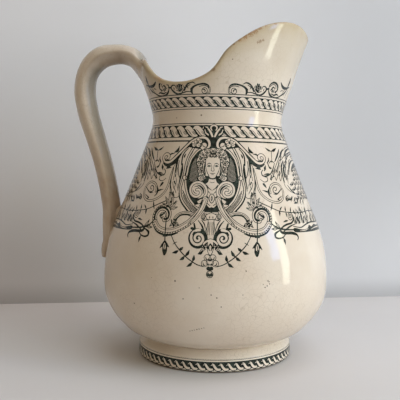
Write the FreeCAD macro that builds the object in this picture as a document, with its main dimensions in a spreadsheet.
"""Earthenware wash jug: two pressed body halves, bottom, foot ring and luted strap handle.

Frame: +Z up, the jug stands on Z = 0, its turning axis is the Z axis, the spout points
to +X and the handle to -X. Millimetres.
"""
import FreeCAD, Part
import os
import re
import Sketcher

os.makedirs("parts", exist_ok=True)
doc = FreeCAD.newDocument("WashJug")

# Driving sizes: name, value in mm, what it is
SIZES = [
    ("foot_height", 18.4, "height where the belly meets the foot ring"),
    ("foot_top_radius", 64.5, "radius where the belly meets the foot ring"),
    ("foot_flare", 6.9, "how far the foot ring's widest place stands out beyond that"),
    ("foot_edge_height", 2.0, "height of that place, the foot's lower edge"),
    ("foot_stand_flare", 6.2, "how far the outer edge of its standing face stands out"),
    ("foot_stand_width", 6.0, "width of the ring that touches the table"),
    ("foot_brow_flare", 6.5, "how far the top edge of the foot's upright band stands out"),
    ("foot_brow_height", 12.5, "height of that top edge"),
    ("foot_recess_height", 12.0, "height of the hollow under the foot, at its rim"),
    ("seat_width", 9.0, "width of the foot ring's flat top"),
    ("bottom_lap", 3.0, "how far the bottom disc lies on that flat top"),
    ("floor_thickness", 5.0, "thickness of the bottom disc"),
    ("belly_radius", 104.2, "widest radius of the belly"),
    ("belly_height", 72.0, "height of the widest belly"),
    ("neck_radius", 60.1, "narrowest radius of the neck"),
    ("neck_height", 216.0, "height of the narrowest neck"),
    ("mouth_radius", 74.5, "half width of the mouth"),
    ("spout_reach", 10.7, "how far the spout reaches beyond that"),
    ("dip_rise", 29.4, "rise of the rim's lowest place, beside the handle, over the neck"),
    ("lip_rise", 52.8, "rise of the spout's edge over that place"),
    ("wall_thickness", 5.0, "wall of the body"),
    ("rim_rounding", 1.9, "rounding of the rim's two edges"),
    ("handle_reach", 60.7, "reach of the handle beyond the half width of the mouth"),
    ("handle_rise", 28.45, "rise of the handle's top over its root"),
    ("handle_thickness", 20.0, "thickness of the handle seen from the side"),
    ("handle_width", 25.0, "width of the handle across the jug"),
    ("handle_root_width", 42.0, "width of the handle where it leaves the rim"),
    ("slip_thickness", 0.8, "thickness of the luting slip"),
    ("slip_bead", 0.9, "how far the slip shows round the handle"),
    ("cut_overrun", 6.0, "how far every cut runs past the clay"),
]

sheet = doc.addObject("Spreadsheet::Sheet", "Sizes")
for row, (alias, value, meaning) in enumerate(SIZES, start=1):
    sheet.set(f"A{row}", meaning)
    sheet.set(f"B{row}", str(value))
    sheet.setAlias(f"B{row}", alias)
doc.recompute()


def size(text):
    """Turn a formula in the sizes' names into one that reads the sheet."""
    return re.sub(r"[a-z]+(_[a-z]+)+", lambda word: f"Sizes.{word.group()}", text)


def amount(text):
    """Value in mm of a formula in the sizes' names."""
    return float(sheet.evalExpression(size(text)))


def bind(item, name, text):
    item.setExpression(name, size(text))


# Outline of the body
# Each ring is a height, a radius and a shift towards the spout, as formulas of the sizes.
# Belly below its widest place: height share, radius share, and how much of the wall is
# taken off the inside radius and how much of the floor is added under it
BELLY_FOOT_SHARES = [
    (0.0, 0.0, 0.45, 1.0),
    (0.039, 0.164, 0.5, 0.93),
    (0.123, 0.396, 0.6, 0.84),
    (0.282, 0.632, 0.78, 0.6),
    (0.485, 0.834, 0.91, 0.34),
    (0.737, 0.967, 0.98, 0.12),
    (1.0, 1.0, 1.0, 0.0),
]
# Belly above its widest place, up to the neck: height share, how much it is drawn in
DRAWN_IN_SHARES = [
    (0.11, 0.022), (0.22, 0.077), (0.33, 0.187), (0.44, 0.333), (0.55, 0.483), (0.66, 0.628),
    (0.77, 0.764), (0.88, 0.9), (0.955, 0.98), (1.0, 1.0),
]
# Mouth, from the neck up to the spout's edge and past it: height share, how much it has
# widened, and how far the ring has shifted towards the spout
MOUTH_SHARES = [
    (0.055, 0.02, 0.0), (0.125, 0.1, 0.0), (0.21, 0.25, 0.0), (0.31, 0.45, 0.0),
    (0.42, 0.67, 0.0), (0.52, 0.84, 0.0), (0.635, 0.95, 0.14), (0.765, 1.0, 0.42),
    (0.885, 1.0, 0.78), (1.0, 1.0, 1.0), (1.095, 1.0, 1.1),
]


def body_rings():
    """Rings of the body from the foot up: height, radius, shift, wall share, floor share."""
    rings = []
    for up, out, wall, floor in BELLY_FOOT_SHARES:
        rings.append((f"foot_height + {up} * (belly_height - foot_height)",
                      f"foot_top_radius + {out} * (belly_radius - foot_top_radius)",
                      "0", wall, floor))
    for up, drawn in DRAWN_IN_SHARES:
        rings.append((f"belly_height + {up} * (neck_height - belly_height)",
                      f"belly_radius - {drawn} * (belly_radius - neck_radius)",
                      "0", 1.0, 0.0))
    for up, wide, shift in MOUTH_SHARES:
        rings.append((f"neck_height + {up} * (dip_rise + lip_rise)",
                      f"neck_radius + {wide} * (mouth_radius - neck_radius)",
                      f"{shift} * spout_reach", 1.0, 0.0))
    return rings


def ring_loft(name, grow, inside=False):
    """Solid through all the body's rings, grown outwards or drawn in by the wall."""
    sections = []
    for index, (height, radius, shift, wall, floor) in enumerate(body_rings()):
        circle = doc.addObject("Part::Circle", f"{name}_ring_{index}")
        if inside:
            bind(circle, "Radius", f"{radius} - {wall} * wall_thickness")
            bind(circle, "Placement.Base.z", f"{height} + {floor} * floor_thickness")
        else:
            bind(circle, "Radius", f"{radius} + {grow}")
            bind(circle, "Placement.Base.z", height)
        bind(circle, "Placement.Base.x", shift)
        sections.append(circle)
    loft = doc.addObject("Part::Loft", name)
    loft.Sections = sections
    loft.Solid = True
    return loft


outer_form = ring_loft("outer_form", "0")
inner_form = ring_loft("inner_form", "0", inside=True)
slipped_form = ring_loft("slipped_form", "slip_thickness")

# Rim: a curve seen from the side, from behind the handle's root over the dip beside it
# to the spout. Shares of the mouth's length from the back, and of the rim's rise.
RIM_SHARES = [
    (-0.144, 0.9), (-0.05, 0.74), (0.031, 0.52), (0.088, 0.175), (0.175, 0.004),
    (0.287, -0.028), (0.381, 0.045), (0.456, 0.19), (0.495, 0.45), (0.592, 0.663),
    (0.694, 0.86), (0.817, 0.975), (0.928, 0.998), (1.022, 0.83), (1.115, 0.59),
]
RIM_LENGTH = "(2 * mouth_radius + spout_reach)"


def place_point(sketch, geometry, point, across, up):
    """Tie one point of a sketch to the sketch's origin by two formulas."""
    for kind, text in (("DistanceX", across), ("DistanceY", up)):
        value = amount(text)
        forward = value >= 0
        ends = (-1, 1, geometry, point) if forward else (geometry, point, -1, 1)
        number = sketch.addConstraint(Sketcher.Constraint(kind, *ends, abs(value)))
        bind(sketch, f"Constraints[{number}]", text if forward else f"-({text})")


def rim_cutter():
    """Block above the rim's curve, as wide as the jug."""
    profile = doc.addObject("Sketcher::SketchObject", "rim_profile")
    profile.Placement.Rotation = FreeCAD.Rotation(FreeCAD.Vector(1, 0, 0), 90)
    bind(profile, "Placement.Base.x", "-mouth_radius")
    bind(profile, "Placement.Base.z", "neck_height + dip_rise")
    poles = [FreeCAD.Vector(amount(f"{along} * {RIM_LENGTH}"), amount(f"{up} * lip_rise"), 0)
             for along, up in RIM_SHARES]
    degree = 3
    spans = len(poles) - degree
    curve = Part.BSplineCurve()
    curve.buildFromPolesMultsKnots(
        poles, [degree + 1] + [1] * (spans - 1) + [degree + 1],
        [float(knot) for knot in range(spans + 1)], False, degree)
    spline = profile.addGeometry(curve, False)
    profile.exposeInternalGeometry(spline)
    for index, (along, up) in enumerate(RIM_SHARES):
        place_point(profile, spline + 1 + index, 3, f"{along} * {RIM_LENGTH}",
                    f"{up} * lip_rise")
    # the block's upper corners, well above the jug
    ceiling = "lip_rise + 4 * cut_overrun"
    top = amount(ceiling)
    corners = [poles[-1], FreeCAD.Vector(poles[-1].x, top, 0),
               FreeCAD.Vector(poles[0].x, top, 0), poles[0]]
    lines = [profile.addGeometry(Part.LineSegment(a, b), False)
             for a, b in zip(corners, corners[1:])]
    profile.addConstraint(Sketcher.Constraint("Coincident", spline, 2, lines[0], 1))
    profile.addConstraint(Sketcher.Constraint("Coincident", lines[0], 2, lines[1], 1))
    profile.addConstraint(Sketcher.Constraint("Coincident", lines[1], 2, lines[2], 1))
    profile.addConstraint(Sketcher.Constraint("Coincident", lines[2], 2, spline, 1))
    profile.addConstraint(Sketcher.Constraint("Vertical", lines[0]))
    profile.addConstraint(Sketcher.Constraint("Vertical", lines[2]))
    profile.addConstraint(Sketcher.Constraint("Horizontal", lines[1]))
    number = profile.addConstraint(Sketcher.Constraint("DistanceY", -1, 1, lines[1], 1, top))
    bind(profile, f"Constraints[{number}]", ceiling)
    block = doc.addObject("Part::Extrusion", "rim_cutter")
    block.Base = profile
    block.DirMode = "Normal"
    block.Solid = True
    block.Symmetric = True
    bind(block, "LengthFwd", "2 * (mouth_radius + cut_overrun)")
    return block


def cut(name, base, tool):
    result = doc.addObject("Part::Cut", name)
    result.Base = base
    result.Tool = tool
    return result


def common(name, base, tool):
    result = doc.addObject("Part::Common", name)
    result.Base = base
    result.Tool = tool
    return result


# The bottom disc fills the hole between the body's foot and laps onto the foot ring
BOTTOM_RADIUS = "foot_top_radius - seat_width + bottom_lap"


def body_shell(rim_block):
    """Whole body: hollow, open at the bottom for the disc, rim cut and rounded."""
    hollow = cut("hollow_form", outer_form, inner_form)
    hole = doc.addObject("Part::Cylinder", "bottom_hole")
    bind(hole, "Radius", BOTTOM_RADIUS)
    bind(hole, "Height", "floor_thickness + 2 * cut_overrun")
    bind(hole, "Placement.Base.z", "foot_height - cut_overrun")
    open_form = cut("open_form", hollow, hole)
    shell = cut("rim_cut_form", open_form, rim_block)
    doc.recompute()
    # the rim's two edges are those of the face that the rim's curve made
    rim_edges = []
    for index, edge in enumerate(shell.Shape.Edges, start=1):
        box = edge.BoundBox
        if box.ZMin > amount("neck_height") and box.YLength > amount("mouth_radius"):
            rim_edges.append(index)
    rounded = doc.addObject("Part::Fillet", "rounded_form")
    rounded.Base = shell
    rounding = amount("rim_rounding")
    rounded.Edges = [(index, rounding, rounding) for index in rim_edges]
    return rounded


def body_half(name, shell, side):
    """One pressed half, cut at the plane through spout and handle."""
    block = doc.addObject("Part::Box", f"{name}_block")
    bind(block, "Length", "2 * (belly_radius + mouth_radius)")
    bind(block, "Width", "belly_radius + cut_overrun")
    bind(block, "Height", "neck_height + dip_rise + lip_rise + 2 * cut_overrun")
    bind(block, "Placement.Base.x", "-(belly_radius + mouth_radius)")
    bind(block, "Placement.Base.y", "0" if side > 0 else "-(belly_radius + cut_overrun)")
    half = common(name, shell, block)
    half.Label = name
    return half


def foot_ring():
    """Turned foot ring with a flat top that carries the belly and the bottom disc."""
    body = doc.addObject("PartDesign::Body", "foot_ring")
    body.Label = "foot_ring"
    plane = next(item for item in body.Origin.OriginFeatures if item.Role == "XZ_Plane")
    profile = body.newObject("Sketcher::SketchObject", "foot_profile")
    profile.AttachmentSupport = [(plane, "")]
    profile.MapMode = "FlatFace"
    corners = [
        ("foot_top_radius - seat_width", "foot_height"),
        ("foot_top_radius", "foot_height"),
        ("foot_top_radius + foot_brow_flare", "foot_brow_height"),
        ("foot_top_radius + foot_flare", "foot_edge_height"),
        ("foot_top_radius + foot_stand_flare", "0"),
        ("foot_top_radius + foot_stand_flare - foot_stand_width", "0"),
        ("foot_top_radius - seat_width", "foot_recess_height"),
    ]
    points = [FreeCAD.Vector(amount(across), amount(up), 0) for across, up in corners]
    count = len(points)
    for index, point in enumerate(points):
        profile.addGeometry(Part.LineSegment(point, points[(index + 1) % count]), False)
    for index in range(count):
        profile.addConstraint(
            Sketcher.Constraint("Coincident", index, 2, (index + 1) % count, 1))
    for index, (across, up) in enumerate(corners):
        place_point(profile, index, 1, across, up)
    turned = body.newObject("PartDesign::Revolution", "foot_turning")
    turned.Profile = profile
    turned.ReferenceAxis = (profile, ["V_Axis"])
    turned.Angle = 360
    doc.recompute()
    return body


def bottom_disc():
    """Flat disc that closes the belly, resting on the foot ring's flat top."""
    body = doc.addObject("PartDesign::Body", "bottom")
    body.Label = "bottom"
    plane = next(item for item in body.Origin.OriginFeatures if item.Role == "XY_Plane")
    outline = body.newObject("Sketcher::SketchObject", "bottom_outline")
    outline.AttachmentSupport = [(plane, "")]
    outline.MapMode = "FlatFace"
    axis = FreeCAD.Vector(0, 0, 0)
    up = FreeCAD.Vector(0, 0, 1)
    outline.addGeometry(Part.Circle(axis, up, amount(BOTTOM_RADIUS)), False)
    outline.addConstraint(Sketcher.Constraint("Coincident", 0, 3, -1, 1))
    number = outline.addConstraint(Sketcher.Constraint("Radius", 0, amount(BOTTOM_RADIUS)))
    bind(outline, f"Constraints[{number}]", BOTTOM_RADIUS)
    disc = body.newObject("PartDesign::Pad", "bottom_pad")
    disc.Profile = outline
    bind(disc, "Length", "floor_thickness")
    bind(body, "Placement.Base.z", "foot_height")
    return body


# Handle: sections along its curve, each a centre, the way the curve runs there in degrees
# from straight up over the back, and the section's thickness and width.
# It leaves the rim's hump at this height
ROOT_SHARE = 0.24
HANDLE_ROOT = f"(neck_height + dip_rise + {ROOT_SHARE} * lip_rise)"
# Over the top: reach share beyond the mouth, rise share above the root, way,
# thickness share, and how much of the root's extra width is left
HANDLE_TOP_SHARES = [
    (-0.21, -0.25, 31, 0.66, 1.0),
    (-0.07, 0.23, 36, 0.75, 0.94),
    (0.055, 0.555, 54, 0.86, 0.55),
    (0.21, 0.683, 78, 0.89, 0.2),
    (0.387, 0.68, 96, 0.94, 0.04),
    (0.56, 0.585, 116, 1.02, 0.0),
    (0.691, 0.355, 139, 1.02, 0.0),
    (0.783, 0.0, 161, 0.98, 0.0),
    (0.817, -0.49, 180, 0.99, 0.0),
]
# Down the back: reach share from the belly to the mouth's end of the curve, rise share,
# way, thickness share, width share of what the root is wider
HANDLE_BACK_SHARES = [
    (0.89, 0.73, 192, 0.97, 0.0),
    (0.593, 0.525, 197, 0.905, 0.0),
    (0.296, 0.32, 195, 0.86, 0.0),
    (0.083, 0.115, 190, 0.86, 0.0),
]
# On the belly: ring of the outline above the widest place, rise over that ring and lift
# off it in thicknesses, way, thickness share, width share
HANDLE_END_SHARES = [
    (4, 0.0, 0.47, 184, 0.85, 0.0),
    (3, 0.0, 0.16, 180, 0.81, 0.0),
    (2, 0.0, -0.05, 179, 0.74, -0.05),
    (1, 0.3, 0.075, 177, 0.55, -0.15),
    (1, 0.0, 0.02, 177, 0.38, -0.55),
    (1, -0.15, -0.12, 177, 0.2, -0.9),
]
# Part of each section's thickness that its straight sides take
SIDE_SHARE = 0.3


def handle_sections():
    """Every section of the handle: reach, height, way, thickness, width."""
    rings = body_rings()
    widest = len(BELLY_FOOT_SHARES) - 1
    first_height, first_radius = rings[widest + HANDLE_END_SHARES[0][0]][:2]
    touch = f"({first_radius} + {HANDLE_END_SHARES[0][2]} * handle_thickness)"
    back = f"(mouth_radius + {HANDLE_TOP_SHARES[-1][0]} * handle_reach)"
    sections = []
    for out, up, way, thick, wide in HANDLE_TOP_SHARES:
        sections.append((f"mouth_radius + {out} * handle_reach",
                         f"{HANDLE_ROOT} + {up} * handle_rise", way, thick, wide))
    for out, up, way, thick, wide in HANDLE_BACK_SHARES:
        sections.append((f"{touch} + {out} * ({back} - {touch})",
                         f"{first_height} + {up} * ({HANDLE_ROOT} - ({first_height}))",
                         way, thick, wide))
    for ring, rise, lift, way, thick, wide in HANDLE_END_SHARES:
        height, radius = rings[widest + ring][:2]
        sections.append((f"{radius} + {lift} * handle_thickness",
                         f"{height} + {rise} * handle_thickness", way, thick, wide))
    return sections


def handle_loft(name, sections, bead):
    """Solid through lens-shaped sections: two arcs joined by short straight sides."""
    profiles = []
    for index, (reach, height, way, thick, wide) in enumerate(sections):
        sketch = doc.addObject("Sketcher::SketchObject", f"{name}_section_{index}")
        turn = FreeCAD.Rotation(FreeCAD.Vector(0, 1, 0), -way)
        across = FreeCAD.Rotation(FreeCAD.Vector(0, 0, 1), -90)
        sketch.Placement.Rotation = turn.multiply(across)
        bind(sketch, "Placement.Base.x", f"-({reach})")
        bind(sketch, "Placement.Base.z", height)
        half_width = (f"(handle_width + {wide} * (handle_root_width - handle_width)) / 2"
                      f" + {bead}")
        half_thickness = f"{thick} * handle_thickness / 2 + {bead}"
        half_edge = f"{SIDE_SHARE} * ({half_thickness})"
        x, y, edge = amount(half_width), amount(half_thickness), amount(half_edge)
        corner = [FreeCAD.Vector(-x, edge, 0), FreeCAD.Vector(x, edge, 0),
                  FreeCAD.Vector(x, -edge, 0), FreeCAD.Vector(-x, -edge, 0)]
        crown = FreeCAD.Vector(0, y, 0)
        keel = FreeCAD.Vector(0, -y, 0)
        sketch.addGeometry(Part.Arc(corner[0], crown, corner[1]), False)
        sketch.addGeometry(Part.LineSegment(corner[1], corner[2]), False)
        sketch.addGeometry(Part.Arc(corner[2], keel, corner[3]), False)
        sketch.addGeometry(Part.LineSegment(corner[3], corner[0]), False)
        # an arc of a sketch always runs anticlockwise, so its ends are found by place
        ends = {}
        for arc in (0, 2):
            for point in (1, 2):
                ends[arc, point] = sketch.getPoint(arc, point)
        for line, line_point, spot in ((1, 1, corner[1]), (1, 2, corner[2]),
                                       (3, 1, corner[3]), (3, 2, corner[0])):
            arc, arc_point = min(ends, key=lambda key: ends[key].distanceToPoint(spot))
            sketch.addConstraint(
                Sketcher.Constraint("Coincident", arc, arc_point, line, line_point))
        place_point(sketch, 1, 1, half_width, half_edge)
        place_point(sketch, 1, 2, half_width, f"-({half_edge})")
        place_point(sketch, 3, 1, f"-({half_width})", f"-({half_edge})")
        place_point(sketch, 3, 2, f"-({half_width})", half_edge)
        radius = (f"(({half_width}) ^ 2 + (({half_thickness}) - ({half_edge})) ^ 2)"
                  f" / (2 * (({half_thickness}) - ({half_edge})))")
        for arc in (0, 2):
            number = sketch.addConstraint(Sketcher.Constraint("Radius", arc, amount(radius)))
            bind(sketch, f"Constraints[{number}]", radius)
        profiles.append(sketch)
    loft = doc.addObject("Part::Loft", name)
    loft.Sections = profiles
    loft.Solid = True
    return loft


sections = handle_sections()
rim_block = rim_cutter()
shell = body_shell(rim_block)
front_half = body_half("body_front_half", shell, -1)
back_half = body_half("body_back_half", shell, 1)
ring = foot_ring()
disc = bottom_disc()

# The handle's root laps over the rim and ends flush with the inside of the wall
slipped_below_rim = cut("slipped_below_rim", slipped_form, rim_block)
handle_on_rim = cut("handle_on_rim", handle_loft("handle_form", sections, "0"),
                    slipped_below_rim)
handle = cut("handle", handle_on_rim, inner_form)
handle.Label = "handle"
slip_layer = cut("slip_layer", slipped_below_rim, outer_form)
root_sections = sections[:6]
end_sections = sections[-9:]
top_slip = common("handle_top_slip", handle_loft("root_form", root_sections, "slip_bead"),
                  slip_layer)
top_slip.Label = "handle_top_slip"
foot_slip = common("handle_foot_slip", handle_loft("end_form", end_sections, "slip_bead"),
                   slip_layer)
foot_slip.Label = "handle_foot_slip"

doc.recompute()
for item in doc.Objects:
    if "Invalid" in item.State or "Error" in item.State:
        raise RuntimeError(f"{item.Name} failed: {item.State}")
for piece in (front_half, back_half, disc, ring, handle, top_slip, foot_slip):
    shape = piece.Shape
    if shape.isNull() or not shape.isValid() or not shape.Solids:
        raise RuntimeError(f"{piece.Label} has no valid solid")
    shape.exportStep(f"parts/{piece.Label}.step")
    box = shape.BoundBox
    print(f"{piece.Label}: {len(shape.Solids)} solid, {shape.Volume:.0f} mm3, "
          f"X {box.XMin:.1f}..{box.XMax:.1f}, Y {box.YMin:.1f}..{box.YMax:.1f}, "
          f"Z {box.ZMin:.1f}..{box.ZMax:.1f}")
